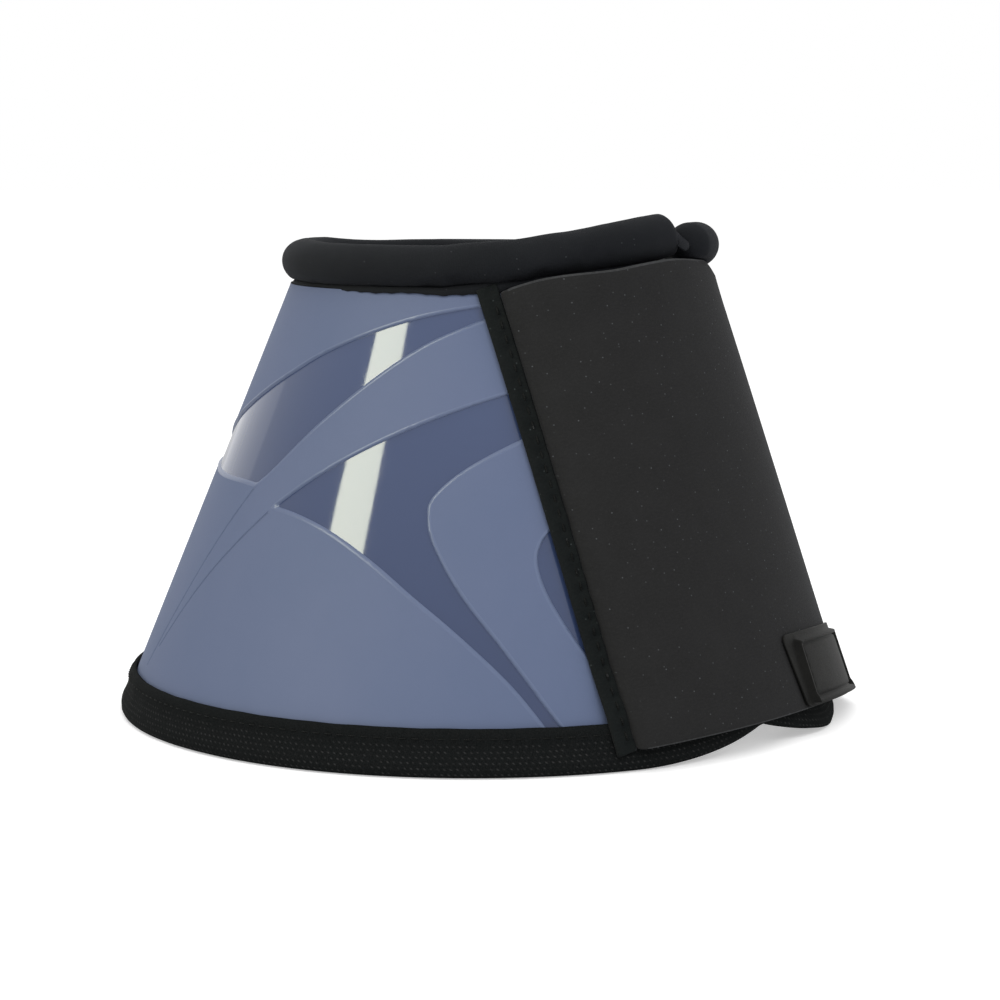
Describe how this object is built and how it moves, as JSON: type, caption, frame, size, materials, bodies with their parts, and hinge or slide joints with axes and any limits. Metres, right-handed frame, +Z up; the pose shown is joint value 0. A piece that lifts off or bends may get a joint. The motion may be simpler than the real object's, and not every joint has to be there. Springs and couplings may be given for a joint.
{
  "type": "overreach boot",
  "caption": "Bell-shaped horse overreach boot: moulded shell over a thick lining, taped rim, padded roll collar and a wide cloth closure flap that folds open.",
  "frame": {"origin": "middle of the rim's box at the level it stands on", "axes": "+Z up through the pastern opening, -Y out through the closure flap, +X from the flap's sewn edge towards its free edge"},
  "size_m": [0.1798, 0.1835, 0.1245],
  "materials": {
    "moulded_shell": "blue-grey moulded elastomer, satin with sunken glossy fields",
    "neoprene_lining": "black neoprene, matt",
    "woven_tape": "black woven tape",
    "brushed_cloth": "charcoal brushed cloth",
    "collar_cloth": "charcoal knitted cloth",
    "collar_foam": "soft foam",
    "loop_cloth": "black loop cloth",
    "hook_tape": "black moulded hooks",
    "badge_rubber": "black moulded rubber, matt"
  },
  "bodies": {
    "boot": {"outer_shell": "moulded_shell", "lining": "neoprene_lining", "facing_panel": "brushed_cloth", "loop_panel": "loop_cloth", "rim_binding": "woven_tape", "end_binding_flap_side": "woven_tape", "end_binding_loop_side": "woven_tape", "collar_cover": "collar_cloth", "collar_core": "collar_foam", "collar_end_loop_side": "collar_cloth", "collar_end_flap_side": "collar_cloth", "flap_seam_strip": "brushed_cloth"},
    "flap": {"closure_flap": "brushed_cloth", "flap_lining": "neoprene_lining", "flap_hook_panel": "hook_tape", "badge": "badge_rubber"}
  },
  "joints": [
    {"name": "flap_fold", "type": "hinge", "parent": "boot", "child": "flap", "pos_m": [-0.05399, -0.05142, 0.05451], "axis": [-0.0854, -0.3712, -0.9246], "range_deg": [0, 165]}
  ]
}
